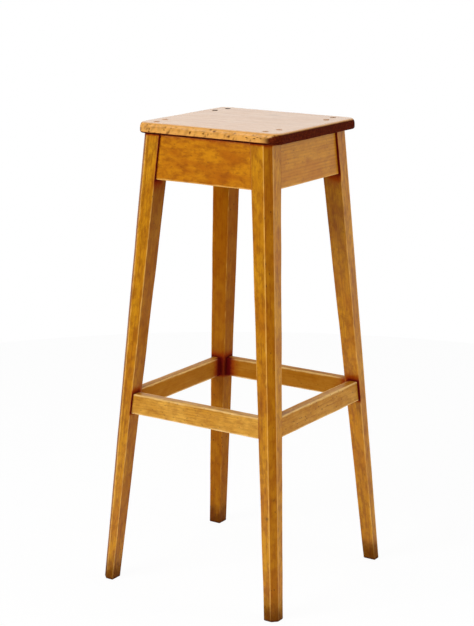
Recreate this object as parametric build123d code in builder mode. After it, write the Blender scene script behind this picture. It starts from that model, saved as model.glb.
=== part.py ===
from build123d import *
from math import cos, radians, sin, sqrt
import os

# Tall wooden stool with four splayed, tapered legs, four aprons, four stretchers and a bullnosed seat.
# Millimetres. The origin is on the floor under the middle of the frame, +X right, +Y back, +Z up.

os.makedirs("parts", exist_ok=True)

# Overall
total_height = 800.5
foot_spread = 359.9          # across the outer faces of two legs, at the floor
shoulder_spread = 250.7      # the same, under the seat

# Seat
seat_thickness = 18.7
seat_overhang_left = 10.8    # beyond the outer faces of the legs
seat_overhang_right = 17.3
seat_overhang_front = 0.8
seat_overhang_back = 6.5
seat_corner_radius = 17.0
seat_nose_top = 9.0          # the upper and lower rounds of the bullnose
seat_nose_bottom = 4.0

# Legs: the outer faces run straight, the inner faces carry the taper
leg_width_top = 36.7
leg_width_foot = 23.1
leg_chamfer_top = 10.1       # set-back of the flat planed off the outer corner
leg_chamfer_foot = 8.6
leg_arris = 1.0
foot_bevel = 1.5

# Aprons, canted with the legs
apron_height = 75.0
apron_thickness = 18.0
apron_recess = 3.8           # behind the outer face of the leg
apron_arris = 1.2

# Stretchers, canted with the legs
stretcher_bottom = 302.5
stretcher_height = 34.7
stretcher_thickness = 17.0
stretcher_recess = 3.8
stretcher_arris = 1.4

# Mortise and tenon joints: the tenons of two neighbouring rails meet in a mitre inside the leg
apron_tenon_thickness = 8.0
apron_tenon_haunch = 28.0    # the tenon starts this far below the top edge
apron_tenon_shoulder = 6.0
stretcher_tenon_thickness = 7.0
stretcher_tenon_shoulder = 4.0
tenon_end_gap = 0.5          # room for glue between a tenon's end and the mitre

# Corner blocks, glued and screwed across the inside of the aprons
block_thickness = 22.0
block_height = 45.0
block_leg_gap = 1.0
block_screw_spacing = 60.0
block_screw_drop = 28.0      # below the top of the block

# Screws and plugs
plug_radius = 5.0
plug_depth = 7.0
seat_screw_length = 32.0
seat_screw_radius = 1.9
seat_screw_apron_reach = 75.0    # from the middle to the screws in the side aprons
block_screw_length = 32.0
block_screw_radius = 1.75
screw_head_ratio = 2.1           # head radius over shank radius
screw_head_angle = 45.0          # half angle of the countersunk head
screw_slot_width = 1.0
screw_slot_depth = 0.9
screw_point = 5.0
screw_clearance = 0.1

# Worked out
leg_top = total_height - seat_thickness
seat_length = shoulder_spread + seat_overhang_left + seat_overhang_right
seat_width = shoulder_spread + seat_overhang_front + seat_overhang_back
seat_middle_x = (seat_overhang_right - seat_overhang_left) / 2
seat_middle_y = (seat_overhang_back - seat_overhang_front) / 2
foot_half = foot_spread / 2
shoulder_half = shoulder_spread / 2
splay = (foot_half - shoulder_half) / leg_top
leg_taper = (leg_width_top - leg_width_foot) / leg_top
stretcher_top = stretcher_bottom + stretcher_height
apron_bottom = leg_top - apron_height

sides = {"front": -90, "right": 0, "back": 90, "left": 180}
corners = {"front_left": (-1, -1), "front_right": (1, -1), "back_right": (1, 1), "back_left": (-1, 1)}


def leg_face(z):
    """Distance from the middle to the outer face of a leg at height z."""
    return foot_half - splay * z


def leg_width(z):
    return leg_width_foot + leg_taper * z


def leg_chamfer(z):
    return leg_chamfer_foot + (leg_chamfer_top - leg_chamfer_foot) * z / leg_top


def leaning_plane(angle, reach, lean):
    """Plane at reach from the middle on the floor, which leans in by lean per millimetre of height."""
    out = Vector(cos(radians(angle)), sin(radians(angle)), 0)
    return Plane(origin=out * reach, z_dir=out + Vector(0, 0, lean))


def shoulder_plane(angle):
    """The inner face of the leg that a rail's shoulder closes on."""
    return leaning_plane(angle, foot_half - leg_width_foot, splay + leg_taper)


def mitre_plane(side_angle, turn, gap):
    """Plane of the mitre between a side's rail and its neighbour, set back by the gap."""
    out = Vector(cos(radians(side_angle)), sin(radians(side_angle)), 0)
    along = Vector(cos(radians(side_angle + turn)), sin(radians(side_angle + turn)), 0)
    return Plane(origin=along * -gap, z_dir=along - out)


def side_plane(angle):
    """Upright plane across a side's rail: local x runs outwards, local y runs up."""
    out = Vector(cos(radians(angle)), sin(radians(angle)), 0)
    return Plane(origin=(0, 0, 0), x_dir=out, z_dir=out.cross(Vector(0, 0, 1)))


def canted_bar(angle, low, high, near, far):
    """Long bar that leans with the legs, near and far being its faces behind the outer face of the leg."""
    with BuildPart() as bar:
        with BuildSketch(side_plane(angle)):
            with BuildLine():
                Polyline(
                    (leg_face(low) - near, low),
                    (leg_face(high) - near, high),
                    (leg_face(high) - far, high),
                    (leg_face(low) - far, low),
                    close=True,
                )
            make_face()
        extrude(amount=foot_spread, both=True)
    return bar.part


def tenon_bar(angle, low, high, near, far, gap):
    """Bar that runs through a rail and ends in the mitres inside the two legs."""
    blank = canted_bar(angle, low, high, near, far)
    with BuildPart() as bar:
        add(blank)
        for turn in (-90, 90):
            split(bisect_by=mitre_plane(angle, turn, gap), keep=Keep.BOTTOM)
    return bar.part


def apron_tenon(angle, gap):
    middle = apron_recess + apron_thickness / 2
    half = apron_tenon_thickness / 2
    return tenon_bar(
        angle,
        apron_bottom + apron_tenon_shoulder,
        leg_top - apron_tenon_haunch,
        middle - half,
        middle + half,
        gap,
    )


def stretcher_tenon(angle, gap):
    middle = stretcher_recess + stretcher_thickness / 2
    half = stretcher_tenon_thickness / 2
    return tenon_bar(
        angle,
        stretcher_bottom + stretcher_tenon_shoulder,
        stretcher_top - stretcher_tenon_shoulder,
        middle - half,
        middle + half,
        gap,
    )


def wood_screw(radius, length, grow):
    """Countersunk screw hanging down from its head's flat top at the origin, grown by a clearance."""
    head = radius * screw_head_ratio
    cone = (head - radius) / sin(radians(screw_head_angle)) * cos(radians(screw_head_angle))
    with BuildPart() as screw:
        with BuildSketch(Plane.XZ):
            with BuildLine():
                Polyline(
                    (0, 0),
                    (head + grow, 0),
                    (radius + grow, -cone),
                    (radius + grow, screw_point - length),
                    (0, -length - grow),
                    close=True,
                )
            make_face()
        revolve(axis=Axis.Z)
    return screw.part


# Screw places
seat_screw_level = total_height - plug_depth
leg_screw_reach = leg_face(leg_top) - leg_width_top / 2
apron_screw_x = leg_face(leg_top) - apron_recess - apron_thickness / 2
leg_screw_points = [(sx * leg_screw_reach, sy * leg_screw_reach) for sx, sy in corners.values()]
apron_screw_points = [(sx * apron_screw_x, sy * seat_screw_apron_reach) for sx, sy in corners.values()]
seat_screw_points = leg_screw_points + apron_screw_points

block_outer = (leg_face(leg_top) - leg_width_top) * sqrt(2) - block_leg_gap
block_inner = block_outer - block_thickness


def block_screw_planes(sx, sy):
    """Planes on the inner face of a corner block, facing the middle of the stool, one for each screw."""
    out = Vector(sx, sy, 0) / sqrt(2)
    along = Vector(-sy, sx, 0) / sqrt(2)
    level = Vector(0, 0, leg_top - block_screw_drop)
    offsets = (-block_screw_spacing / 2, block_screw_spacing / 2)
    return [Plane(origin=out * block_inner + along * offset + level, z_dir=-out) for offset in offsets]


seat_screw = wood_screw(seat_screw_radius, seat_screw_length, 0)
seat_screw_room = wood_screw(seat_screw_radius, seat_screw_length, screw_clearance)
block_screw = wood_screw(block_screw_radius, block_screw_length, 0)
block_screw_room = wood_screw(block_screw_radius, block_screw_length, screw_clearance)

# Legs
mortises = [joint(angle, 0) for angle in sides.values() for joint in (apron_tenon, stretcher_tenon)]
for corner, (sx, sy) in corners.items():
    with BuildPart() as leg:
        for z in (0, leg_top):
            face, inner, flat = leg_face(z), leg_face(z) - leg_width(z), leg_face(z) - leg_chamfer(z)
            with BuildSketch(Plane.XY.offset(z)):
                with BuildLine():
                    Polyline(
                        (sx * inner, sy * inner),
                        (sx * face, sy * inner),
                        (sx * face, sy * flat),
                        (sx * flat, sy * face),
                        (sx * inner, sy * face),
                        close=True,
                    )
                make_face()
        loft(ruled=True)
        chamfer(leg.faces().sort_by(Axis.Z)[0].edges(), foot_bevel)
        fillet(leg.edges().filter_by(lambda edge: edge.length > leg_top / 2), leg_arris)
        add(mortises, mode=Mode.SUBTRACT)
        with Locations((sx * leg_screw_reach, sy * leg_screw_reach, seat_screw_level)):
            add(seat_screw_room, mode=Mode.SUBTRACT)
    leg.part.label = f"leg_{corner}"
    export_step(leg.part, f"parts/leg_{corner}.step")

# Aprons
for side, angle in sides.items():
    blank = canted_bar(angle, apron_bottom, leg_top, apron_recess, apron_recess + apron_thickness)
    tenons = apron_tenon(angle, tenon_end_gap)
    with BuildPart() as apron:
        add(blank)
        fillet(apron.faces().sort_by(Axis.Z)[0].edges().group_by(SortBy.LENGTH)[-1], apron_arris)
        for turn in (-90, 90):
            split(bisect_by=shoulder_plane(angle + turn), keep=Keep.BOTTOM)
        add(tenons)
        with Locations(*[(x, y, seat_screw_level) for x, y in apron_screw_points]):
            add(seat_screw_room, mode=Mode.SUBTRACT)
        for sx, sy in corners.values():
            with Locations(*block_screw_planes(sx, sy)):
                add(block_screw_room, mode=Mode.SUBTRACT)
    apron.part.label = f"apron_{side}"
    export_step(apron.part, f"parts/apron_{side}.step")

# Stretchers
for side, angle in sides.items():
    blank = canted_bar(
        angle, stretcher_bottom, stretcher_top, stretcher_recess, stretcher_recess + stretcher_thickness
    )
    tenons = stretcher_tenon(angle, tenon_end_gap)
    with BuildPart() as stretcher:
        add(blank)
        fillet(stretcher.edges().group_by(SortBy.LENGTH)[-1], stretcher_arris)
        for turn in (-90, 90):
            split(bisect_by=shoulder_plane(angle + turn), keep=Keep.BOTTOM)
        add(tenons)
    stretcher.part.label = f"stretcher_{side}"
    export_step(stretcher.part, f"parts/stretcher_{side}.step")

# Corner blocks: each end is planed to the inner face of the apron that it is glued to
for corner, (sx, sy) in corners.items():
    with BuildPart() as block:
        middle = (block_outer + block_inner) / 2 / sqrt(2)
        with BuildSketch(Plane.XY.offset(leg_top)):
            with Locations(Location((sx * middle, sy * middle), 45 * sx * sy)):
                Rectangle(block_thickness, shoulder_spread)
        extrude(amount=-block_height)
        for angle in sides.values():
            inner_face = leaning_plane(angle, foot_half - apron_recess - apron_thickness, splay)
            split(bisect_by=inner_face, keep=Keep.BOTTOM)
        with Locations(*block_screw_planes(sx, sy)):
            add(block_screw_room, mode=Mode.SUBTRACT)
    block.part.label = f"corner_block_{corner}"
    export_step(block.part, f"parts/corner_block_{corner}.step")

# Seat
with BuildPart() as seat:
    with BuildSketch(Plane.XY.offset(leg_top)):
        with Locations((seat_middle_x, seat_middle_y)):
            RectangleRounded(seat_length, seat_width, seat_corner_radius)
    extrude(amount=seat_thickness)
    fillet(seat.faces().sort_by(Axis.Z)[-1].edges(), seat_nose_top)
    fillet(seat.faces().sort_by(Axis.Z)[0].edges(), seat_nose_bottom)
    with Locations(*[(x, y, total_height) for x, y in seat_screw_points]):
        Hole(radius=plug_radius, depth=plug_depth)
    with Locations(*[(x, y, seat_screw_level) for x, y in seat_screw_points]):
        add(seat_screw_room, mode=Mode.SUBTRACT)
seat.part.label = "seat"
export_step(seat.part, "parts/seat.step")

# Seat screws, four into the legs and four into the side aprons, with a slot across each head
with BuildPart() as seat_screws:
    with Locations(*[(x, y, seat_screw_level) for x, y in seat_screw_points]):
        add(seat_screw)
        Box(
            4 * plug_radius,
            screw_slot_width,
            screw_slot_depth,
            align=(Align.CENTER, Align.CENTER, Align.MAX),
            mode=Mode.SUBTRACT,
        )
seat_screws.part.label = "seat_screws"
export_step(seat_screws.part, "parts/seat_screws.step")

# Plugs over the seat screws
with BuildPart() as seat_plugs:
    with Locations(*[(x, y, seat_screw_level) for x, y in seat_screw_points]):
        Cylinder(plug_radius, plug_depth, align=(Align.CENTER, Align.CENTER, Align.MIN))
seat_plugs.part.label = "seat_plugs"
export_step(seat_plugs.part, "parts/seat_plugs.step")

# Screws through the corner blocks into the aprons
with BuildPart() as block_screws:
    for sx, sy in corners.values():
        with Locations(*block_screw_planes(sx, sy)):
            add(block_screw)
            Box(
                4 * block_screw_radius,
                screw_slot_width,
                screw_slot_depth,
                align=(Align.CENTER, Align.CENTER, Align.MAX),
                mode=Mode.SUBTRACT,
            )
block_screws.part.label = "block_screws"
export_step(block_screws.part, "parts/block_screws.step")
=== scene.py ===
import math

import bpy
import numpy as np
from mathutils import Matrix, Vector


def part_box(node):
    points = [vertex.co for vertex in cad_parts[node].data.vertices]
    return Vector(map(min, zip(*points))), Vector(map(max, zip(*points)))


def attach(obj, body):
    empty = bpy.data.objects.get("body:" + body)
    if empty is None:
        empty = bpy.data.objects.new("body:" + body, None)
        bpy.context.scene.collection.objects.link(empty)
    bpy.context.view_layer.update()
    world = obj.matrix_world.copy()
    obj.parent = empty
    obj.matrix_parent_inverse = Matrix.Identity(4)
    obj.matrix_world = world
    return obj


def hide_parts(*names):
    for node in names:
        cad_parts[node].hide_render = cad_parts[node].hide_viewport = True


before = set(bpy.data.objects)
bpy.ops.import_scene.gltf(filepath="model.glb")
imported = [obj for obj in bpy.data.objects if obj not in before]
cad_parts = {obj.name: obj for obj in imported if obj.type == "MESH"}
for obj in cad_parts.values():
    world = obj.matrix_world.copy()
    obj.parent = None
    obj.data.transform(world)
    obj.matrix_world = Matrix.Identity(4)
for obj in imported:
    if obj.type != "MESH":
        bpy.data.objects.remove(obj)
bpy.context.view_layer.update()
print("stool frame loaded:", len(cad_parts), "nodes")

camera = {
    "azimuth": 32.956,  # degrees from the front, towards the right
    "distance": 2.9312,
    "height": 1.1791,
    "yaw": 0.264,
    "pitch": -13.671,
    "roll": 0.208,
    "lens": 100.7,
}


def placeCamera(c):
    # the camera stands on a circle round the stool, faces its middle, then yaws, pitches and rolls
    turn = math.radians(c["azimuth"])
    spot = Vector((math.sin(turn) * c["distance"], -math.cos(turn) * c["distance"], c["height"]))
    look = turn + math.radians(c["yaw"])
    tilt = math.radians(c["pitch"])
    ahead = Vector((-math.sin(look) * math.cos(tilt), math.cos(look) * math.cos(tilt), math.sin(tilt)))
    side = ahead.cross(Vector((0, 0, 1))).normalized()
    up = side.cross(ahead)
    roll = math.radians(c["roll"])
    right = side * math.cos(roll) + up * math.sin(roll)
    top = up * math.cos(roll) - side * math.sin(roll)
    data = bpy.data.cameras.new("stoolCamera")
    data.lens = c["lens"]
    data.sensor_width = 36.0
    data.clip_end = 50.0
    obj = bpy.data.objects.new("stoolCamera", data)
    bpy.context.collection.objects.link(obj)
    axes = Matrix((right, top, -ahead)).transposed().to_4x4()
    obj.matrix_world = Matrix.Translation(spot) @ axes
    bpy.context.scene.camera = obj


placeCamera(camera)


def newNode(tree, kind, **values):
    # names that the node has as settings are set on it, and the others give its inputs their values
    node = tree.nodes.new(kind)
    for name, value in values.items():
        if hasattr(node, name):
            setattr(node, name, value)
        else:
            node.inputs[name].default_value = value
    return node


def feed(tree, source, socket):
    # a socket links, a colour or a number is set
    if isinstance(source, bpy.types.NodeSocket):
        tree.links.new(source, socket)
    elif socket.type == "RGBA":
        socket.default_value = (*source[:3], 1.0)
    else:
        socket.default_value = source


def blend(tree, share, under, over):
    # under * (1 - share) + over * share
    node = newNode(tree, "ShaderNodeMix", data_type="RGBA")
    feed(tree, share, node.inputs[0])
    feed(tree, under, node.inputs[6])
    feed(tree, over, node.inputs[7])
    return node.outputs[2]


def reckon(tree, operation, *values):
    # what the operation makes of the values, such as their product or the larger of two
    node = newNode(tree, "ShaderNodeMath", operation=operation)
    for i, value in enumerate(values):
        feed(tree, value, node.inputs[i])
    return node.outputs[0]


def ramp(tree, value, low, high, start=0.0, end=1.0):
    # smooth step from start to end while the value goes from low to high
    node = newNode(tree, "ShaderNodeMapRange", interpolation_type="SMOOTHSTEP")
    numbers = {"Value": value, "From Min": low, "From Max": high, "To Min": start, "To Max": end}
    for name, number in numbers.items():
        feed(tree, number, node.inputs[name])
    return node.outputs["Result"]


def stretch(tree, vector, scale, turn=(0, 0, 0)):
    # the vector turned, then multiplied by the scale on each axis
    node = newNode(tree, "ShaderNodeMapping", Scale=scale, Rotation=turn)
    tree.links.new(vector, node.inputs["Vector"])
    return node.outputs[0]


def noise(tree, vector, detail=3.0, roughness=0.55):
    # smooth noise about 0.5, one lump to a unit of the vector
    node = newNode(tree, "ShaderNodeTexNoise", Scale=1.0, Detail=detail, Roughness=roughness)
    tree.links.new(vector, node.inputs["Vector"])
    return node.outputs["Fac"]


def tint(red, green, blue):
    # screen colour, 0 to 255, to the linear light that a shader works in
    parts = np.array([red, green, blue]) / 255
    linear = np.where(parts <= 0.04045, parts / 12.92, ((parts + 0.055) / 1.055) ** 2.4)
    return tuple(float(part) for part in linear)


studio = {
    "wallAhead": 1.0,  # how bright the room is behind the stool
    "roomBehind": 0.06,  # and on the camera's side
    "floorRadius": 1.7,
    "floorShade": 0.06,  # how much of the floor's own light and shadow shows
    "floorWhite": 0.95,
    "lamps": {  # place, aim, side of the square, power
        "keyLamp": ((-0.9, -2.3, 2.3), (0, 0, 0.45), 1.6, 62.0),
        "fillLamp": ((1.2, -2.6, 0.7), (0, 0, 0.4), 1.6, 26.0),
        "rightLamp": ((2.6, 0.3, 1.3), (0, 0, 0.4), 1.5, 15.0),
    },
}


def hangLamp(name, spot, aim, size, power):
    # a square lamp at the spot, shining towards the aim
    data = bpy.data.lights.new(name, "AREA")
    data.shape = "RECTANGLE"
    data.size = data.size_y = size
    data.energy = power
    obj = bpy.data.objects.new(name, data)
    bpy.context.collection.objects.link(obj)
    away = (Vector(spot) - Vector(aim)).normalized()
    turn = away.to_track_quat("Z", "Y").to_matrix().to_4x4()
    obj.matrix_world = Matrix.Translation(Vector(spot)) @ turn


def lightStudio(s):
    # a white room behind the stool and a dim one in front light the wood; the camera sees plain white
    world = bpy.data.worlds.new("studio")
    bpy.context.scene.world = world
    world.use_nodes = True
    tree = world.node_tree
    tree.nodes.clear()
    parts = newNode(tree, "ShaderNodeSeparateXYZ")
    tree.links.new(newNode(tree, "ShaderNodeTexCoord").outputs["Generated"], parts.inputs[0])
    room = ramp(tree, parts.outputs["Y"], -0.25, 0.45, s["roomBehind"], s["wallAhead"])
    eye = newNode(tree, "ShaderNodeLightPath").outputs["Is Camera Ray"]
    level = newNode(tree, "ShaderNodeMix", data_type="FLOAT", B=1.0)
    tree.links.new(eye, level.inputs["Factor"])
    tree.links.new(room, level.inputs["A"])
    sky = newNode(tree, "ShaderNodeBackground", Color=(1, 1, 1, 1))
    tree.links.new(level.outputs["Result"], sky.inputs["Strength"])
    tree.links.new(sky.outputs[0], newNode(tree, "ShaderNodeOutputWorld").inputs["Surface"])

    for name, (spot, aim, size, power) in s["lamps"].items():
        hangLamp(name, spot, aim, size, power)

    bpy.ops.mesh.primitive_circle_add(vertices=96, radius=s["floorRadius"], fill_type="NGON")
    floor = bpy.context.object
    floor.name = "floor"
    paint = bpy.data.materials.new("floorWhite")
    paint.use_nodes = True
    tree = paint.node_tree
    tree.nodes.clear()
    eye = newNode(tree, "ShaderNodeLightPath").outputs["Is Camera Ray"]
    pale = s["floorWhite"]
    matt = newNode(tree, "ShaderNodeBsdfDiffuse", Color=(pale, pale, pale, 1))
    white = newNode(tree, "ShaderNodeEmission", Color=(1, 1, 1, 1), Strength=1.0)
    both = newNode(tree, "ShaderNodeMixShader")
    tree.links.new(reckon(tree, "MULTIPLY", eye, 1 - s["floorShade"]), both.inputs[0])
    tree.links.new(matt.outputs[0], both.inputs[1])
    tree.links.new(white.outputs[0], both.inputs[2])
    tree.links.new(both.outputs[0], newNode(tree, "ShaderNodeOutputMaterial").inputs["Surface"])
    floor.data.materials.append(paint)


lightStudio(studio)
bpy.context.scene.view_settings.view_transform = "Standard"
print("camera and studio placed")

stoolFrame = {  # metres
    "legWidthTop": 0.0367,
    "legWidthFoot": 0.0231,
    "chamferTop": 0.0101,
    "chamferFoot": 0.0086,
    "footBevel": 0.0015,
    "recess": 0.0038,  # rails behind the outer faces of the legs
    "apronThickness": 0.018,
    "treadThickness": 0.017,
}

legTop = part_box("seat")[0].z
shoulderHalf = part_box("leg_front_right")[0].x + stoolFrame["legWidthTop"]
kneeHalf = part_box("leg_front_right")[1].x  # widest just above the foot's bevel
footHalf = kneeHalf + (kneeHalf - shoulderHalf) / legTop * stoolFrame["footBevel"]
sides = {"front": -90, "right": 0, "back": 90, "left": 180}
corners = {"front_left": (-1, -1), "front_right": (1, -1), "back_right": (1, 1), "back_left": (-1, 1)}


def between(low, high, z):
    # straight line from low on the floor to high under the seat
    return low + (high - low) * z / legTop


def legFace(z):
    # from the middle of the stool to the outer face of a leg
    return between(footHalf, shoulderHalf, z)


def legInner(z):
    # the outer face less the leg's width at that height
    return legFace(z) - between(stoolFrame["legWidthFoot"], stoolFrame["legWidthTop"], z)


def railSection(name, thickness):
    # lowest and highest edge, and the outer and inner face measured back from the leg's face
    low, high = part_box(name)
    return low.z, high.z, stoolFrame["recess"], stoolFrame["recess"] + thickness


apronRail = railSection("apron_front", stoolFrame["apronThickness"])
treadRail = railSection("stretcher_front", stoolFrame["treadThickness"])


def waves(points, span, seed, count=16):
    # sum of seeded sine waves that run in random directions, their lengths near the span, about -1 to 1
    draw = np.random.default_rng(seed)
    total = np.zeros(points.shape[:-1])
    scaled = points / np.asarray(span)
    for _ in range(count):
        way = draw.normal(size=3)
        way /= np.linalg.norm(way)
        rate = 2 * np.pi / draw.uniform(0.6, 1.6)
        total += np.sin(scaled @ way * rate + draw.uniform(0, 2 * np.pi))
    return total / (1.2 * np.sqrt(count))


def easeIn(value, low, high):
    # smooth step, 3 f^2 - 2 f^3, while the value goes from low to high
    share = np.clip((value - low) / (high - low), 0, 1)
    return share * share * (3 - 2 * share)


def roundedRing(cornerSpots, radii, arcSteps, flatSteps, crowd=0.0):
    # flats joined by arcs, each a rational quadratic curve pulled to its corner by sin(half angle);
    # the steps on a flat close up towards its ends by the crowd, u - crowd * sin(2 pi u) / 2 pi
    count = cornerSpots.shape[1]
    arcs = []
    s = np.linspace(0, 1, arcSteps + 1)[None, :, None]
    for i in range(count):
        here = cornerSpots[:, i]
        back = cornerSpots[:, i - 1] - here
        ahead = cornerSpots[:, (i + 1) % count] - here
        back /= np.linalg.norm(back, axis=1, keepdims=True)
        ahead /= np.linalg.norm(ahead, axis=1, keepdims=True)
        half = np.arccos(np.clip((back * ahead).sum(1), -1, 1)) / 2
        reach = (radii[:, i] / np.tan(half))[:, None]
        start, end = (here + back * reach)[:, None], (here + ahead * reach)[:, None]
        pull = 2 * s * (1 - s) * np.sin(half)[:, None, None]
        curve = (1 - s) ** 2 * start + pull * here[:, None] + s**2 * end
        arcs.append(curve / ((1 - s) ** 2 + pull + s**2))
    strips = []
    for i, arc in enumerate(arcs):
        on = arcs[(i + 1) % count][:, :1]
        u = np.arange(1, flatSteps[i]) / flatSteps[i]
        f = (u - crowd * np.sin(2 * np.pi * u) / (2 * np.pi))[None, :, None]
        strips += [arc, arc[:, -1:] * (1 - f) + on * f]
    return np.concatenate(strips, axis=1)


def outwards(grid):
    # cross product of the steps round and along the grid, turned away from each row's middle
    normal = np.cross(np.roll(grid, -1, 1) - np.roll(grid, 1, 1), np.gradient(grid, axis=0))
    normal /= np.maximum(np.linalg.norm(normal, axis=2, keepdims=True), 1e-12)
    return normal * np.sign((normal * (grid - grid.mean(axis=1, keepdims=True))).sum())


def pressDents(grid, normal, dents):
    # each dent sinks the surface by depth * exp(-(distance / size)^2) and stains it in the same way
    knock = np.zeros(grid.shape[:2])
    moved = grid.copy()
    for spot, size, depth, stain in dents:
        near = np.exp(-(((grid - np.asarray(spot)) / np.asarray(size)) ** 2).sum(-1))
        moved -= normal * (near * depth)[..., None]
        knock = np.maximum(knock, near * stain)
    return moved, knock


def skin(name, grid, fields, sharp=45):
    # a closed surface from rows that join round, with a flat face over the first row and over the last
    rows, cols = grid.shape[:2]
    here = np.arange(rows - 1)[:, None] * cols + np.arange(cols)[None, :]
    beside = np.arange(rows - 1)[:, None] * cols + (np.arange(cols) + 1)[None, :] % cols
    quads = np.stack([here, beside, beside + cols, here + cols], -1).reshape(-1, 4)
    flat = grid.reshape(-1, 3)
    a, b, c, d = (flat[quads[:, i]] for i in range(4))
    insideOut = (np.cross(b - a, c - a) * a).sum() + (np.cross(c - a, d - a) * a).sum() < 0
    step = -1 if insideOut else 1
    faces = [np.arange(cols)[::-step].tolist(), ((rows - 1) * cols + np.arange(cols))[::step].tolist()]
    faces += quads[:, ::step].tolist()
    mesh = bpy.data.meshes.new(name)
    mesh.from_pydata(flat.tolist(), [], faces)
    mesh.polygons.foreach_set("use_smooth", np.ones(len(mesh.polygons), bool))
    mesh.set_sharp_from_angle(angle=math.radians(sharp))
    for label, values in fields.items():
        kind, part = ("FLOAT_VECTOR", "vector") if values.ndim == 3 else ("FLOAT", "value")
        held = mesh.attributes.new(label, kind, "POINT")
        held.data.foreach_set(part, values.astype(np.float32).ravel())
    mesh.update()
    obj = bpy.data.objects.new(name, mesh)
    bpy.context.collection.objects.link(obj)
    return obj


def dress(obj, node, material):
    # the piece stands for the CAD node, rides on the stool and wears the material
    obj.data.materials.append(material)
    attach(obj, "root")
    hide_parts(node)


def toCorners(spots, cornerSpots, kept=0.0):
    # distance from each point of an outline to the closest corner, plus how far that is kept from wear
    return (np.sqrt(((spots[:, :, None] - cornerSpots[:, None]) ** 2).sum(-1)) + kept).min(2)


def startGroup(name, inputs, outputs):
    # a shader group for an effect that several finishes share
    tree = bpy.data.node_groups.new(name, "ShaderNodeTree")
    kinds = {"vector": "NodeSocketVector", "colour": "NodeSocketColor", "value": "NodeSocketFloat"}
    for label, kind in inputs.items():
        tree.interface.new_socket(name=label, in_out="INPUT", socket_type=kinds[kind])
    for label, kind in outputs.items():
        tree.interface.new_socket(name=label, in_out="OUTPUT", socket_type=kinds[kind])
    return tree, tree.nodes.new("NodeGroupInput").outputs, tree.nodes.new("NodeGroupOutput").inputs


def useGroup(tree, group, **values):
    # the group placed in a material, with its own values
    node = newNode(tree, "ShaderNodeGroup", node_tree=group)
    for label, value in values.items():
        feed(tree, value, node.inputs[label])
    return node.outputs


def makeFigure():
    # clouds of darker varnish, fine mottle, rings round the pith, streaks and pores along the grain
    inputs = {"Board": "vector", "Pale": "colour", "Warm": "colour", "Deep": "colour"}
    inputs |= {name: "value" for name in ("Clouds", "Mottle", "Rings", "Streaks", "Pores")}
    outputs = {"Color": "colour", "Height": "value", "Cloud": "value"}
    tree, given, out = startGroup("woodFigure", inputs, outputs)
    board = given["Board"]
    rings = newNode(tree, "ShaderNodeTexWave", wave_type="RINGS", rings_direction="Z",
                    wave_profile="SIN")
    for name, number in (("Scale", 70.0), ("Distortion", 9.0), ("Detail", 3.0), ("Detail Scale", 0.3)):
        rings.inputs[name].default_value = number
    tree.links.new(stretch(tree, board, (1, 1, 0.12)), rings.inputs["Vector"])
    cloud = ramp(tree, noise(tree, stretch(tree, board, (34, 34, 16)), 5.0, 0.62), 0.36, 0.66)
    mottle = ramp(tree, noise(tree, stretch(tree, board, (120, 120, 60)), 4.0, 0.65), 0.4, 0.7)
    streak = ramp(tree, noise(tree, stretch(tree, board, (300, 300, 9)), 5.0, 0.7), 0.46, 0.74)
    pore = ramp(tree, noise(tree, stretch(tree, board, (1400, 1400, 170)), 2.0, 0.5), 0.6, 0.74)
    colour = blend(tree, reckon(tree, "MULTIPLY", cloud, given["Clouds"]), given["Pale"], given["Warm"])
    masks = {"Mottle": mottle, "Rings": rings.outputs["Fac"], "Streaks": streak, "Pores": pore}
    for share, mask in masks.items():
        colour = blend(tree, reckon(tree, "MULTIPLY", mask, given[share]), colour, given["Deep"])
    tree.links.new(colour, out["Color"])
    sunk = reckon(tree, "MULTIPLY", streak, -0.5)
    tree.links.new(reckon(tree, "SUBTRACT", sunk, pore), out["Height"])
    tree.links.new(cloud, out["Cloud"])
    return tree


def makeArrisWear():
    # 1 on a sharp edge, fading over the width, with a ragged limit
    inputs = {"Board": "vector", "Arris": "value", "Width": "value"}
    tree, given, out = startGroup("arrisWear", inputs, {"Worn": "value"})
    ragged = noise(tree, stretch(tree, given["Board"], (260, 260, 48)), 3.0, 0.6)
    ragged = reckon(tree, "MULTIPLY", reckon(tree, "SUBTRACT", ragged, 0.5), 1.4)
    share = reckon(tree, "ADD", reckon(tree, "DIVIDE", given["Arris"], given["Width"]), ragged)
    tree.links.new(ramp(tree, share, 0.15, 1.0, 1.0, 0.0), out["Worn"])
    return tree


def makeGrimeAndShadow():
    # old varnish and dirt in a joint, and painted shadow under the seat: a wide reddish stain and a dark
    # core, broken by noise
    outputs = {"Stain": "value", "Core": "value"}
    tree, given, out = startGroup("jointGrimeAndShadow", {"Board": "vector", "Joint": "value"}, outputs)
    patch = noise(tree, stretch(tree, given["Board"], (140, 140, 110)), 4.0, 0.6)
    patch = reckon(tree, "MULTIPLY", reckon(tree, "SUBTRACT", patch, 0.5), 0.45)
    level = reckon(tree, "ADD", given["Joint"], patch)
    tree.links.new(ramp(tree, level, 0.12, 0.62), out["Stain"])
    tree.links.new(ramp(tree, level, 0.5, 0.95), out["Core"])
    return tree


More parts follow.
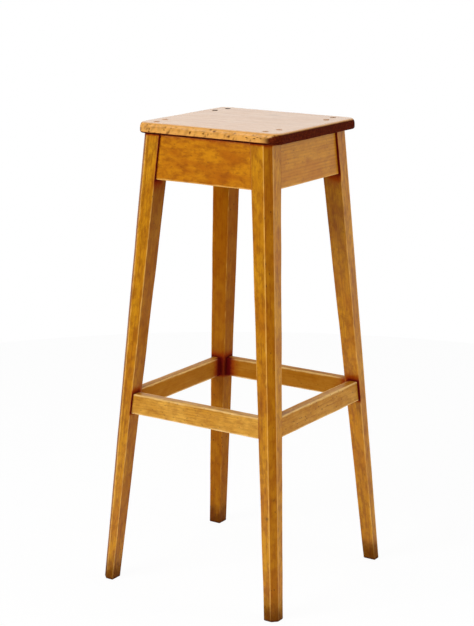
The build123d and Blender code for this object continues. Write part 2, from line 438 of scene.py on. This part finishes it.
def makeSpecks():
    # sparse round dark marks, of which only a share is kept, and soft smudges along the grain
    outputs = {"Speck": "value", "Smudge": "value"}
    tree, given, out = startGroup("knockSpecks", {"Board": "vector", "Share": "value"}, outputs)
    cell = newNode(tree, "ShaderNodeTexVoronoi", Scale=1.0)
    tree.links.new(stretch(tree, given["Board"], (260, 260, 150)), cell.inputs["Vector"])
    pick = newNode(tree, "ShaderNodeSeparateColor")
    tree.links.new(cell.outputs["Color"], pick.inputs[0])
    kept = reckon(tree, "LESS_THAN", pick.outputs[0], given["Share"])
    dot = ramp(tree, cell.outputs["Distance"], 0.12, 0.36, 1.0, 0.0)
    tree.links.new(reckon(tree, "MULTIPLY", kept, dot), out["Speck"])
    smudge = noise(tree, stretch(tree, given["Board"], (170, 170, 42), (0.1, 0.2, 0)), 4.0, 0.68)
    tree.links.new(ramp(tree, smudge, 0.6, 0.78), out["Smudge"])
    return tree


woodFigure = makeFigure()
arrisWear = makeArrisWear()
jointGrimeAndShadow = makeGrimeAndShadow()
knockSpecks = makeSpecks()


def field(tree, name):
    # what the piece's own surface says at each point
    held = newNode(tree, "ShaderNodeAttribute", attribute_name=name)
    return held.outputs["Vector" if name == "board" else "Fac"]


def startMaterial(name):
    # an empty material with its shader, and the shader's sockets
    material = bpy.data.materials.new(name)
    material.use_nodes = True
    tree = material.node_tree
    tree.nodes.clear()
    surface = newNode(tree, "ShaderNodeBsdfPrincipled")
    tree.links.new(surface.outputs[0], newNode(tree, "ShaderNodeOutputMaterial").inputs["Surface"])
    return material, tree, surface.inputs


def varnishedWood(name, look):
    # grain, then painted shade, smudges, worn arrises, joint grime and painted shadow under the seat,
    # end grain, knocks, foot dirt
    material, tree, surface = startMaterial(name)
    board = field(tree, "board")
    grain = ("pale", "warm", "deep", "clouds", "mottle", "rings", "streaks", "pores")
    shares = {label.capitalize(): look[label] for label in grain}
    figure = useGroup(tree, woodFigure, Board=board, **shares)
    sown = reckon(tree, "ADD", field(tree, "speckle"), look["speckShare"])
    marks = useGroup(tree, knockSpecks, Board=board, Share=sown)
    # painted shade where the shade field is set
    shade = field(tree, "shade")
    shaded = blend(tree, look["shadeGrain"], look["shade"], figure["Color"])
    colour = blend(tree, shade, figure["Color"], shaded)
    smudge = reckon(tree, "MULTIPLY", marks["Smudge"], look["smudges"])
    colour = blend(tree, smudge, colour, look["deep"])
    edges = useGroup(tree, arrisWear, Board=board, Arris=field(tree, "arris"), Width=look["arrisWidth"])
    worn = reckon(tree, "MULTIPLY", edges["Worn"], look["arrisWear"])
    colour = blend(tree, worn, colour, look["bare"])
    # joint grime, and through the same field the painted shadow under the seat
    grimeAndShadow = useGroup(tree, jointGrimeAndShadow, Board=board, Joint=field(tree, "joint"))
    stain = reckon(tree, "MULTIPLY", grimeAndShadow["Stain"], look["stainDepth"])
    colour = blend(tree, stain, colour, look["stain"])
    colour = blend(tree, grimeAndShadow["Core"], colour, look["grimeAndShadow"])
    endGrain = field(tree, "endGrain")
    endMottle = ramp(tree, noise(tree, stretch(tree, board, (500, 500, 90)), 3.0, 0.6), 0.4, 0.7)
    colour = blend(tree, endGrain, colour, blend(tree, endMottle, look["end"], look["endPale"]))
    inLight, inShade = look["speckDepth"]
    speckDepth = reckon(tree, "ADD", reckon(tree, "MULTIPLY", shade, inShade - inLight), inLight)
    specks = reckon(tree, "MULTIPLY", marks["Speck"], speckDepth)
    colour = blend(tree, reckon(tree, "MAXIMUM", field(tree, "knock"), specks), colour, look["mark"])
    place = newNode(tree, "ShaderNodeSeparateXYZ")
    tree.links.new(newNode(tree, "ShaderNodeTexCoord").outputs["Object"], place.inputs[0])
    scuff = noise(tree, stretch(tree, board, (90, 90, 60)), 4.0, 0.65)
    scuff = reckon(tree, "MULTIPLY", scuff, look["dirtHeight"])
    height = reckon(tree, "SUBTRACT", place.outputs["Z"], scuff)
    dirt = ramp(tree, height, -0.02, 0.03, look["dirtDepth"], 0.0)
    colour = blend(tree, dirt, colour, look["dirt"])
    tree.links.new(colour, surface["Base Color"])
    surface["Specular IOR Level"].default_value = look["gloss"]
    surface["Coat Roughness"].default_value = look["coatRough"]
    dull = reckon(tree, "MAXIMUM", reckon(tree, "MAXIMUM", endGrain, grimeAndShadow["Stain"]), dirt)
    matt = reckon(tree, "MAXIMUM", dull, reckon(tree, "MULTIPLY", shade, look["shadeMatt"]))
    tree.links.new(ramp(tree, matt, 0.0, 1.0, look["coat"], 0.0), surface["Coat Weight"])
    rough = ramp(tree, figure["Cloud"], 0.0, 1.0, look["rough"], look["rough"] + look["cloudRough"])
    rough = reckon(tree, "ADD", rough, reckon(tree, "MULTIPLY", dull, look["dullRough"]))
    tree.links.new(rough, surface["Roughness"])
    bump = newNode(tree, "ShaderNodeBump", Strength=look["bump"], Distance=0.0004)
    tree.links.new(figure["Height"], bump.inputs["Height"])
    tree.links.new(bump.outputs[0], surface["Normal"])
    return material


honey = {
    "pale": tint(202, 138, 14),
    "warm": tint(178, 108, 2),
    "deep": tint(128, 64, 0),
    # painted shade for the faces that turn inwards, also used to darken the chamfers
    "shade": tint(130, 62, 0),  # chamfers and the faces that turn inwards
    "bare": tint(228, 172, 84),  # worn arrises
    # joint grime colours, also used for the painted shadow under the seat
    "stain": tint(138, 38, 6),
    "grimeAndShadow": tint(90, 10, 10),
    "end": tint(58, 22, 8),
    "endPale": tint(96, 44, 12),
    "mark": tint(66, 28, 8),
    "dirt": tint(74, 28, 0),
    "clouds": 0.9,
    "mottle": 0.6,
    "rings": 0.1,
    "streaks": 0.75,
    "pores": 0.5,
    "smudges": 0.4,
    "speckShare": 0.04,
    "speckDepth": (0.3, 1.0),  # in the light, in the shade
    "shadeGrain": 0.25,  # how much of the grain shows through on shaded faces
    "stainDepth": 0.8,
    "arrisWidth": 0.0034,
    "arrisWear": 0.8,
    "dirtHeight": 0.05,
    "dirtDepth": 0.75,
    "gloss": 0.03,
    "shadeMatt": 1.0,  # how far shaded faces lose their varnish
    "coat": 0.5,
    "coatRough": 0.3,
    "rough": 0.5,
    "cloudRough": 0.1,  # rougher where the varnish is darker
    "dullRough": 0.35,  # and where it is gone
    "bump": 0.25,
}

apronHoney = honey | {
    "pale": tint(202, 130, 8),
    "warm": tint(170, 92, 0),
    "deep": tint(136, 66, 0),
    "mottle": 0.65,
    "rings": 0.0,
    "streaks": 0.1,
    "pores": 0.15,
    "smudges": 0.2,
    "dirtDepth": 0.0,
}

sideHoney = apronHoney | {  # the straight-grained apron on the right
    "pale": tint(206, 140, 22),
    "warm": tint(182, 108, 4),
    "clouds": 0.7,
    "mottle": 0.3,
    "rings": 0.15,
    "streaks": 0.4,
}

treadHoney = honey | {
    "pale": tint(222, 166, 64),
    "warm": tint(198, 138, 36),
    "deep": tint(142, 78, 8),
    "shade": tint(158, 92, 4),
    "bare": tint(240, 200, 126),
    "mottle": 0.5,
    "smudges": 0.6,
    "speckShare": 0.08,
    "dirtDepth": 0.0,
    "shadeMatt": 0.9,
}

seatHoney = honey | {
    "pale": tint(232, 188, 144),
    "warm": tint(222, 172, 124),
    "deep": tint(180, 112, 58),
    "shade": tint(224, 156, 46),
    "mark": tint(84, 38, 8),
    # near black, used on the seat only for the painted shadow along the bottom of the nose
    "grimeAndShadow": tint(30, 8, 4),
    "end": tint(62, 14, 4),
    "endPale": tint(100, 36, 10),
    "clouds": 0.6,
    "mottle": 0.15,
    "rings": 0.05,
    "streaks": 0.5,
    "smudges": 0.15,
    "speckShare": 0.03,
    "arrisWear": 0.0,
    "dirtDepth": 0.0,
    "shadeMatt": 0.6,
    "coat": 1.0,
    "coatRough": 0.25,
    "bump": 0.15,
}

legFinish = varnishedWood("legHoney", honey)
apronFinish = varnishedWood("apronHoney", apronHoney)
sideFinish = varnishedWood("sideHoney", sideHoney)
treadFinish = varnishedWood("treadHoney", treadHoney)
seatFinish = varnishedWood("seatHoney", seatHoney)
print("finishes mixed")

legShape = {
    "rowStep": 0.0035,
    "arris": (0.0010, 0.0009, 0.0009, 0.0009, 0.0009),  # inner corner first, then round the leg
    "kept": (0.0022, 0.0012, 0.0, 0.0, 0.0012),  # how far each arris is kept from wear
    "arrisDrift": 0.4,  # how much the rounding comes and goes along the leg
    "flatSteps": (14, 12, 7, 12, 14),
    "handWork": 0.00016,  # waviness left by the plane
    "handSpan": (0.05, 0.05, 0.12),
    "handBias": 0.3,  # how far the wood is cut back rather than raised
    "crowd": 0.85,  # how far the steps of a face close up towards its edges
    "bevelRow": (0.3, 0.35),  # the row within the foot's bevel: share of its height, share of its inset
    "driftSpan": 0.09,
    "driftLimits": (0.5, 2.2),
    "chamferBlend": 0.0004,  # how far past its edges the chamfer's looks reach
    "chamferKept": 0.01,  # keeps wear off the chamfer itself
    # painted shade: the inner faces are darkened, most just under the apron; the chamfers are darkened
    # too
    "innerShade": 0.5,
    "innerBlend": 0.0008,
    "underSeatShade": 0.5,
    "underSeatFade": 0.16,
    "chamferShade": 0.6,
    # grime where an apron meets the leg, and painted shade below it
    "apronGrimeAndShade": 0.95,
    # painted shadow under the seat's edge, at the top of the leg
    "seatShadowStrength": 0.85,
    "footEnd": (0.003, 0.002),  # how high end grain reaches, and over how much it fades
    "footSpeckle": (0.25, 0.1),  # share on the floor, and over how much it fades
    "treadStain": (0.011, 0.003),  # how far grime spreads above and below a stretcher
    # its long reach below the apron paints shade there as well as grime
    "apronGrimeAndShadeReach": (0.003, 0.014, 0.005),  # above, below and beside an apron
    # reach of the painted shadow under the seat, longer on the chamfer under the seat's near corner
    "seatShadowReach": (0.0022, 0.003),  # under the seat, and how much more on the chamfer
}

# pith: the middle of the growth rings; inner: added to the painted shade of the inner faces; soot:
# strength, and spread beside a stretcher; dents: place, size, depth, stain
legMarks = {
    "front_left": {"seed": 11, "pith": (0.055, 0.02), "inner": -0.15, "soot": (0.9, 0.006),
                   "dents": [((-0.163, -0.1695, 0.151), 0.0026, 0.0003, 0.9)]},
    "front_right": {"seed": 23, "pith": (-0.03, 0.06), "inner": 0.0, "soot": (0.9, 0.005),
                    "dents": [((0.154, -0.168, 0.173), 0.0026, 0.0003, 0.9),
                              ((0.162, -0.161, 0.205), 0.0022, 0.0002, 0.8)]},
    "back_right": {"seed": 37, "pith": (0.05, -0.04), "inner": -0.6, "soot": (1.05, 0.008), "dents": []},
    "back_left": {"seed": 41, "pith": (-0.06, -0.02), "inner": 0.2, "soot": (0.95, 0.03), "dents": []},
}


def jointField(across, depth, z, rail, above, below, beside, past=0.0012):
    # exp(-distance) from the rectangle where a rail meets the leg, each way divided by its own spread
    low, high, _, far = rail
    up, down = np.maximum(z - high, 0) / above, np.maximum(low - z, 0) / below
    aside = np.maximum(depth - far, 0) / beside
    away = np.maximum(across, 0) / past
    return np.exp(-np.sqrt(up**2 + down**2 + aside**2 + away**2))


def makeLeg(corner, signs, marks, shape):
    # rows climb the leg; each is the five-sided section at that height, with its corners rounded
    bevel = stoolFrame["footBevel"]
    rowRise, rowInset = shape["bevelRow"]
    rows = np.linspace(bevel, legTop, int(legTop / shape["rowStep"]))
    z = np.concatenate([[0, bevel * rowRise], rows])
    inset = np.concatenate([[bevel, bevel * rowInset], np.zeros(len(z) - 2)])
    face, inner = legFace(z) - inset, legInner(z) + inset
    flat = legFace(z) - between(stoolFrame["chamferFoot"], stoolFrame["chamferTop"], z)
    flat = flat - inset * (math.sqrt(2) - 1)
    spots = np.stack([np.stack(pair, -1) for pair in
                      ((inner, inner), (face, inner), (face, flat), (flat, face), (inner, face))], 1)
    along = np.stack([np.zeros_like(z), np.zeros_like(z), z], -1)
    drift = np.stack([waves(along, shape["driftSpan"], marks["seed"] + i) for i in range(5)], 1)
    radii = np.array(shape["arris"]) * np.clip(1 + shape["arrisDrift"] * drift, *shape["driftLimits"])
    ring = roundedRing(spots, radii, 4, shape["flatSteps"], shape["crowd"])
    height = np.broadcast_to(z[:, None], ring.shape[:2])
    chamfered = np.exp(-((ring.sum(-1) - spots[:, None, 2].sum(-1)) / shape["chamferBlend"]) ** 2)
    arris = toCorners(ring, spots, shape["kept"]) + shape["chamferKept"] * chamfered
    dark, beside = marks["soot"]
    # joint grime beside the rails, and the painted shadow under the seat
    grimeAndSeatShadow = np.zeros(ring.shape[:2])
    for a, b in ((0, 1), (1, 0)):
        across, depth = ring[..., a] - legInner(height), legFace(height) - ring[..., b]
        byTread = jointField(across, depth, height, treadRail, *shape["treadStain"], beside)
        byApron = jointField(across, depth, height, apronRail, *shape["apronGrimeAndShadeReach"])
        grimeAndSeatShadow = np.maximum(grimeAndSeatShadow, np.maximum(dark * byTread, shape["apronGrimeAndShade"] * byApron))
    # painted shadow under the seat's edge, deeper on the chamfer, carried with the joint grime
    under, chamferUnder = shape["seatShadowReach"]
    seatShadow = np.exp(-(legTop - height) / (under + chamferUnder * chamfered))
    grimeAndSeatShadow = np.maximum(grimeAndSeatShadow, shape["seatShadowStrength"] * seatShadow)
    # painted shade on the inner faces, strongest just under the apron; the chamfers are darkened as well
    turnedIn = np.exp(-((ring.min(-1) - legInner(height)) / shape["innerBlend"]) ** 2)
    underSeat = np.exp(-np.maximum(apronRail[0] - height, 0) / shape["underSeatFade"])
    shade = shape["innerShade"] + marks["inner"] + shape["underSeatShade"] * underSeat
    shade = np.maximum(turnedIn * np.clip(shade, 0, 1), chamfered * shape["chamferShade"])
    middle = (legFace(height) + legInner(height)) / 2
    pithX, pithY = marks["pith"]
    board = np.stack([ring[..., 0] - middle + pithX, ring[..., 1] - middle + pithY,
                      height + marks["seed"]], -1)
    grid = np.stack([ring[..., 0] * signs[0], ring[..., 1] * signs[1], height], -1)
    normal = outwards(grid)
    wavy = waves(grid, shape["handSpan"], marks["seed"] + 7) - shape["handBias"]
    grid = grid + normal * (shape["handWork"] * wavy)[..., None]
    grid, knock = pressDents(grid, normal, marks["dents"])
    grid[..., 2] = np.where(height <= bevel, height, np.clip(grid[..., 2], bevel, legTop))
    grid[-1, :, 2] = legTop
    reach, fade = shape["footEnd"]
    end = np.clip((reach - height) / fade, 0, 1)
    share, fade = shape["footSpeckle"]
    speckle = share * np.exp(-height / fade)
    fields = {"board": board, "arris": arris, "joint": grimeAndSeatShadow, "knock": knock, "endGrain": end,
              "shade": shade, "speckle": speckle}
    dress(skin("leg_" + corner + "_wood", grid, fields), "leg_" + corner, legFinish)


for corner, signs in corners.items():
    makeLeg(corner, signs, legMarks[corner], legShape)
print("legs shaped")

railShape = {
    "rowStep": 0.0035,
    "handWork": 0.00014,
    "into": 0.0004,  # how far a shoulder runs into the leg
    "handSpan": 0.06,
    "handBias": 0.3,
    "crowd": 0.7,
    "arrisDrift": 0.3,
    "driftSpan": 0.09,
    "driftLimits": (0.5, 1.8),
    # painted shade on a rail's inner face
    "innerShade": 0.5,
    "innerFrom": 0.6,  # share of the thickness after which a rail counts as its inner face
    "shoulderStain": (0.55, 0.002),  # strength, reach
    # reach of the painted shadow under the seat along an apron's top
    "seatShadowReach": 0.0032,
    "soot": (0.3, 0.7, 0.2),  # least share, how much more at the inner face, and where it starts
    "sootReach": 0.014,
}

apronShape = railShape | {
    "arris": (0.0012, 0.0003, 0.0003, 0.0012),  # outer bottom, outer top, inner top, inner bottom
    "flatSteps": (24, 6, 24, 6),
    "slot": "apron_wood",
}

treadShape = railShape | {
    "arris": (0.0013, 0.0016, 0.0010, 0.0013),
    "flatSteps": (11, 6, 11, 6),
    "slot": "stretcher_wood",
}

# pith: the middle of the growth rings; footWear: how many times wider a stretcher's outer top edge is
# worn; shade: painted shade over the whole rail; soot: strength at the two ends
railLooks = {
    "front": {"pith": (0.004, 0.11), "footWear": 2.4, "shade": 0.1, "soot": (0.6, 0.6)},
    "right": {"pith": (0.05, 0.035), "footWear": 1.3, "shade": 0.5, "soot": (0.5, 1.0)},
    "back": {"pith": (0.02, 0.09), "footWear": 1.3, "shade": 0.7, "soot": (1.0, 1.6)},
    "left": {"pith": (-0.05, 0.05), "footWear": 1.3, "shade": 0.5, "soot": (1.6, 0.7)},
}


def makeRail(name, angle, rail, shape, look, seed, finish, underSeat):
    # rows run along the rail, each its leaning section, and the ends follow the legs' inner faces
    low, high, near, far = rail
    span = legInner(low) * 2
    s = np.linspace(-1, 1, int(span / shape["rowStep"]))
    spots = np.array([(legFace(low) - near, low), (legFace(high) - near, high),
                      (legFace(high) - far, high), (legFace(low) - far, low)])
    spots = np.broadcast_to(spots, (len(s), 4, 2)).copy()
    along = np.stack([s * span / 2, np.zeros_like(s), np.zeros_like(s)], -1)
    drift = np.stack([waves(along, shape["driftSpan"], seed + i) for i in range(4)], 1)
    drift = np.clip(1 + shape["arrisDrift"] * drift, *shape["driftLimits"])
    worn = np.array([1, look["footWear"] if not underSeat else 1, 1, 1])
    trodden = 1 + (worn - 1) * np.clip(1 - s[:, None] ** 4, 0, 1)
    radii = np.array(shape["arris"]) * trodden * drift
    ring = roundedRing(spots, radii, 4, shape["flatSteps"], shape["crowd"])
    z = ring[..., 1]
    t = s[:, None] * (legInner(z) + shape["into"])
    inside = easeIn(legFace(z) - ring[..., 0], near + shape["innerFrom"] * (far - near), far)
    shoulder = np.maximum(legInner(z) - np.abs(t), 0)
    least, more, start = shape["soot"]
    dark = np.where(s < 0, *look["soot"])[:, None] * (least + more * inside) * (inside > start)
    strength, reach = shape["shoulderStain"]
    grimeAndSeatShadow = strength * np.exp(-shoulder / reach)
    grimeAndSeatShadow = np.maximum(grimeAndSeatShadow, dark * np.exp(-shoulder / shape["sootReach"]))
    # painted shadow under the seat along an apron's top
    grimeAndSeatShadow = np.maximum(grimeAndSeatShadow, underSeat * np.exp(-(legTop - z) / shape["seatShadowReach"]))
    pithX, pithY = look["pith"]
    board = np.stack([ring[..., 0] - legFace(z) + pithX, z - low + pithY, t + seed], -1)
    turn = math.radians(angle)
    grid = np.stack([math.cos(turn) * ring[..., 0] - math.sin(turn) * t,
                     math.sin(turn) * ring[..., 0] + math.cos(turn) * t, z], -1)
    normal = outwards(grid)
    wavy = waves(grid, shape["handSpan"], seed + 5) - shape["handBias"]
    grid = grid + normal * (shape["handWork"] * wavy)[..., None]
    grid[..., 2] = np.minimum(grid[..., 2], legTop)
    blank = np.zeros(ring.shape[:2])
    # painted shade: over the whole rail by its side, much less on an apron, and more on its inner face
    shade = np.clip(look["shade"] * (1 - underSeat) + inside * shape["innerShade"], 0, 1)
    fields = {"board": board, "arris": toCorners(ring, spots), "joint": grimeAndSeatShadow, "knock": blank,
              "endGrain": blank, "shade": shade, "speckle": blank}
    dress(skin(name + "_wood", grid, fields), name, finish)


for seed, (side, angle) in enumerate(sides.items()):
    look = railLooks[side]
    finish = sideFinish if side == "right" else apronFinish
    makeRail("apron_" + side, angle, apronRail, apronShape, look, 100 + 10 * seed, finish, 0.9)
    makeRail("stretcher_" + side, angle, treadRail, treadShape, look, 200 + 10 * seed, treadFinish, 0.0)
print("aprons and stretchers fitted")

seatShape = {
    "cornerRadius": 0.017,
    "noseIn": 0.0065,  # the upper round of the nose, across and down
    "noseDown": 0.0100,
    "noseBottom": 0.0040,
    "topRows": 36,
    "noseRows": (14, 7),
    "arcSteps": 14,
    "flatSteps": (110, 150, 110, 90),
    "proud": 0.00015,  # how far the plugs stand above the worn top
    "ripple": 0.00018,
    "rippleSpan": (0.06, 0.05, 0.03),
    "dents": 60,
    "dentAlong": (0.01, 0.02),  # how far dents stay from the left and the right end
    "dentIn": (0.0002, 0.003),
    "dentDrop": (0.0078, 0.0017),  # below the top: mean, spread
    "dentSize": (0.002, 0.004),
    "dentDepth": (0.0001, 0.0004),
    "dentStain": (0.0, 0.5),
    "topMark": ((0.006, 0.078), (0.012, 0.006, 0.01), 0.0001, 0.35),  # place, size, depth, stain
    "speckDrop": 0.0078,  # how far below the top the front edge is speckled most
    "speckSpread": 0.0026,
    "raggedSpan": 0.006,
    "rightEnd": ((0.05, 0.45), (0.0010, 0.0034)),  # end grain: the face's turn, drop from the top
    "leftEnd": ((0.1, 0.6), (0.007, 0.012), 0.8),  # the same, and its strength
    "frontEnd": (0.016, 0.011, (0.005, 0.008)),  # distance from the right end, fade, drop from the top
    "endRagged": (0.25, 0.2, 0.002),  # how ragged the limit is at the right, the left and the front
    "shadeDrop": (0.0002, 0.002),
    # painted shadow along the bottom of the nose: where it starts and is full below the top, and its
    # strength
    "undersideShadowDrop": (0.0145, 0.0172),
    "undersideShadowStrength": 0.95,
}


def makeSeat(shape):
    # a bullnose, elliptical above and round below, carried round a rounded rectangle; rings that shrink
    # to the middle close the top and the underside
    low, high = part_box("seat")
    top, bottom = high.z - shape["proud"], low.z
    upper, lower = (np.linspace(0, math.pi / 2, count) for count in shape["noseRows"])
    lower = lower[::-1]
    noseIn, noseDown, noseBottom = shape["noseIn"], shape["noseDown"], shape["noseBottom"]
    inset = np.concatenate([noseIn * (1 - np.sin(upper)), noseBottom * (1 - np.sin(lower))])
    z = np.concatenate([top - noseDown * (1 - np.cos(upper)), bottom + noseBottom * (1 - np.cos(lower))])
    x0, y0, x1, y1 = low.x + inset, low.y + inset, high.x - inset, high.y - inset
    spots = np.stack([np.stack(pair, -1) for pair in ((x1, y0), (x1, y1), (x0, y1), (x0, y0))], 1)
    radii = np.repeat((shape["cornerRadius"] - inset)[:, None], 4, 1)
    nose = roundedRing(spots, radii, shape["arcSteps"], shape["flatSteps"])
    middle = np.array([(low.x + high.x) / 2, (low.y + high.y) / 2])
    share = np.linspace(0.01, 1, shape["topRows"])[:-1, None, None]
    topRings = middle + (nose[:1] - middle) * share
    lowRings = middle + (nose[-1:] - middle) * share[::-3]
    flat = np.concatenate([topRings, nose, lowRings])
    height = np.concatenate([np.full(len(topRings), top), z, np.full(len(lowRings), bottom)])
    grid = np.concatenate([flat, np.broadcast_to(height[:, None, None], (*flat.shape[:2], 1))], -1)

    radius = shape["cornerRadius"]
    out = nose - np.clip(nose, np.array(low.xy) + radius, np.array(high.xy) - radius)
    out /= np.maximum(np.linalg.norm(out, axis=-1, keepdims=True), 1e-9)
    lean = np.concatenate([upper, lower])[:, None, None]
    lift = np.where(np.arange(len(nose)) < len(upper), 1, -1)[:, None, None]
    normal = np.zeros_like(grid)
    normal[..., 2] = np.where(np.arange(len(flat)) < len(topRings), 1, -1)[:, None]
    upward = np.broadcast_to(np.cos(lean) * lift, (*out.shape[:2], 1))
    noseRows = slice(len(topRings), len(topRings) + len(nose))
    normal[noseRows] = np.concatenate([out * np.sin(lean), upward], -1)

    grid = grid + normal * (shape["ripple"] * (waves(grid, shape["rippleSpan"], 61) - 1))[..., None]
    draw = np.random.default_rng(71)
    fromLeft, fromRight = shape["dentAlong"]
    dents = []
    for _ in range(shape["dents"]):
        x = draw.uniform(low.x + fromLeft, high.x - fromRight)
        y = low.y + draw.uniform(*shape["dentIn"])
        spot = (x, y, top - draw.normal(*shape["dentDrop"]))
        size = draw.uniform(*shape["dentSize"])
        depth = draw.uniform(*shape["dentDepth"])
        dents.append((spot, size, depth, draw.uniform(*shape["dentStain"])))
    place, size, depth, stain = shape["topMark"]
    dents.append(((*place, top), size, depth, stain))
    grid, knock = pressDents(grid, normal, dents)
    grid[..., 2] = np.clip(grid[..., 2], bottom, high.z)

    below = top - grid[..., 2]
    ragged = waves(grid, shape["raggedSpan"], 67)
    atRight, atLeft, atFront = shape["endRagged"]
    turned, depths = shape["rightEnd"]
    end = easeIn(normal[..., 0] + atRight * ragged, *turned) * easeIn(below, *depths)
    turned, depths, strength = shape["leftEnd"]
    end = end + easeIn(atLeft * ragged - normal[..., 0], *turned) * easeIn(below, *depths) * strength
    fromRight, fade, depths = shape["frontEnd"]
    nearRight = np.exp(-(np.maximum(high.x - fromRight - grid[..., 0], 0) / fade) ** 2)
    onFront = normal[..., 1] < -0.1
    end = np.maximum(end, nearRight * onFront * easeIn(below + atFront * ragged, *depths))
    speckle = np.exp(-((below - shape["speckDrop"]) / shape["speckSpread"]) ** 2)
    speckle = speckle * (0.55 + 0.45 * waves(grid, 0.05, 73))
    shade = easeIn(below, *shape["shadeDrop"])
    # painted shadow along the bottom of the nose, fed in as joint grime
    undersideShadow = shape["undersideShadowStrength"] * easeIn(below, *shape["undersideShadowDrop"])
    board = np.stack([grid[..., 2] - bottom + 0.05, grid[..., 1] + 0.02, grid[..., 0] * 0.8], -1)
    fields = {"board": board, "arris": np.full(below.shape, 0.02), "joint": undersideShadow, "knock": knock,
              "endGrain": end, "shade": shade, "speckle": speckle}
    dress(skin("seat_board", grid, fields), "seat", seatFinish)


makeSeat(seatShape)
print("seat laid")

plugShape = {
    "radius": 0.0052,
    "steps": 28,
    "inFromBox": 0.005,  # from the edge of the plugs' box to the middle of a plug
    "sideY": 0.075,
    "profile": ((0.04, 0), (0.5, 0), (0.93, 0), (1, 0.0004), (1, 0.004)),  # share of the radius, drop
    "stain": (0.2, 0.3, 0.6, 1.0, 0.15, 0.2, 0.3, 1.0),  # legs from the front left, then aprons
}


def makePlugs(shape):
    # short cylinders with a softened rim, one over each seat screw; each is made at the stool's middle,
    # where skin tells inside from outside, and then moved to its place
    _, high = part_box("seat_plugs")
    reach, sideX = high.y - shape["inFromBox"], high.x - shape["inFromBox"]
    angle = np.linspace(0, 2 * math.pi, shape["steps"], endpoint=False)
    profile = np.array(shape["profile"])
    spots = [(sx * reach, sy * reach) for sx, sy in corners.values()]
    spots += [(sx * sideX, sy * shape["sideY"]) for sx, sy in corners.values()]
    for count, (x, y) in enumerate(spots):
        ring = profile[:, :1] * shape["radius"]
        grid = np.stack([x + ring * np.cos(angle), y + ring * np.sin(angle),
                         np.broadcast_to(high.z - profile[:, 1:], (len(profile), len(angle)))], -1)
        stain = np.full(grid.shape[:2], shape["stain"][count])
        board = np.stack([grid[..., 0] + 3 * count, grid[..., 1], grid[..., 2]], -1)
        piece = skin("plug_" + str(count), grid - (x, y, 0), {"board": board, "stain": stain})
        piece.data.transform(Matrix.Translation((x, y, 0)))
        dress(piece, "seat_plugs", plugFinish)


plugLook = {  # colours between the flecks and of the flecks; roughness clean and dirty
    "clean": (tint(220, 158, 92), tint(186, 120, 60)),
    "dirty": (tint(70, 46, 30), tint(40, 26, 18)),
    "gloss": 0.25,
    "rough": (0.4, 0.85),
}


def plugWood(look):
    # end grain of the plugs: short rings, darker where dirt has settled
    material, tree, surface = startMaterial("plugWood")
    board = field(tree, "board")
    stain = field(tree, "stain")
    fleck = ramp(tree, noise(tree, stretch(tree, board, (900, 300, 300)), 3.0, 0.6), 0.35, 0.7)
    clean, dirty = blend(tree, fleck, *look["clean"]), blend(tree, fleck, *look["dirty"])
    tree.links.new(blend(tree, stain, clean, dirty), surface["Base Color"])
    surface["Specular IOR Level"].default_value = look["gloss"]
    tree.links.new(ramp(tree, stain, 0.0, 1.0, *look["rough"]), surface["Roughness"])
    return material


plugFinish = plugWood(plugLook)
makePlugs(plugShape)
print("plugs set")


blockLook = {
    "pale": tint(204, 164, 116),
    "warm": tint(180, 138, 92),
    "deep": tint(132, 92, 54),
    "streaks": 0.5,
    "bump": 0.3,
    "rough": (0.7, 0.85),
}


def bareWood(name, turn, look):
    # unvarnished block: fine streaks along its length, saw marks across it
    material, tree, surface = startMaterial(name)
    spot = newNode(tree, "ShaderNodeTexCoord").outputs["Object"]
    place = stretch(tree, spot, (1, 1, 1), (0, 0, turn))
    streak = ramp(tree, noise(tree, stretch(tree, place, (6, 240, 240)), 4.0, 0.65), 0.38, 0.7)
    cloud = ramp(tree, noise(tree, stretch(tree, place, (30, 60, 60)), 3.0, 0.6), 0.35, 0.68)
    colour = blend(tree, cloud, look["pale"], look["warm"])
    colour = blend(tree, reckon(tree, "MULTIPLY", streak, look["streaks"]), colour, look["deep"])
    tree.links.new(colour, surface["Base Color"])
    saw = noise(tree, stretch(tree, place, (700, 30, 30)), 2.0, 0.5)
    bump = newNode(tree, "ShaderNodeBump", Strength=look["bump"], Distance=0.0004)
    tree.links.new(saw, bump.inputs["Height"])
    tree.links.new(bump.outputs[0], surface["Normal"])
    tree.links.new(ramp(tree, streak, 0.0, 1.0, *look["rough"]), surface["Roughness"])
    return material


steelLook = {  # grey steel, then where it has bloomed
    "colour": (tint(150, 146, 138), tint(96, 62, 40)),
    "metal": (0.95, 0.2),
    "rough": (0.38, 0.8),
}


def dullSteel(look):
    # grey steel with brown bloom
    material, tree, surface = startMaterial("screwSteel")
    place = newNode(tree, "ShaderNodeTexCoord").outputs["Object"]
    bloom = ramp(tree, noise(tree, stretch(tree, place, (420, 420, 420)), 4.0, 0.65), 0.42, 0.66)
    tree.links.new(blend(tree, bloom, *look["colour"]), surface["Base Color"])
    tree.links.new(ramp(tree, bloom, 0.0, 1.0, *look["metal"]), surface["Metallic"])
    tree.links.new(ramp(tree, bloom, 0.0, 1.0, *look["rough"]), surface["Roughness"])
    return material


blockFinishes = {  # the blocks run one way at two corners and the other way at the other two
    1: bareWood("blockWoodRising", math.pi / 4, blockLook),
    -1: bareWood("blockWoodFalling", -math.pi / 4, blockLook),
}
steelFinish = dullSteel(steelLook)
for corner, signs in corners.items():
    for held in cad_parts["corner_block_" + corner].material_slots:
        held.material = blockFinishes[signs[0] * signs[1]]
for name in ("seat_screws", "block_screws"):
    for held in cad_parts[name].material_slots:
        held.material = steelFinish
print("blocks and screws finished")
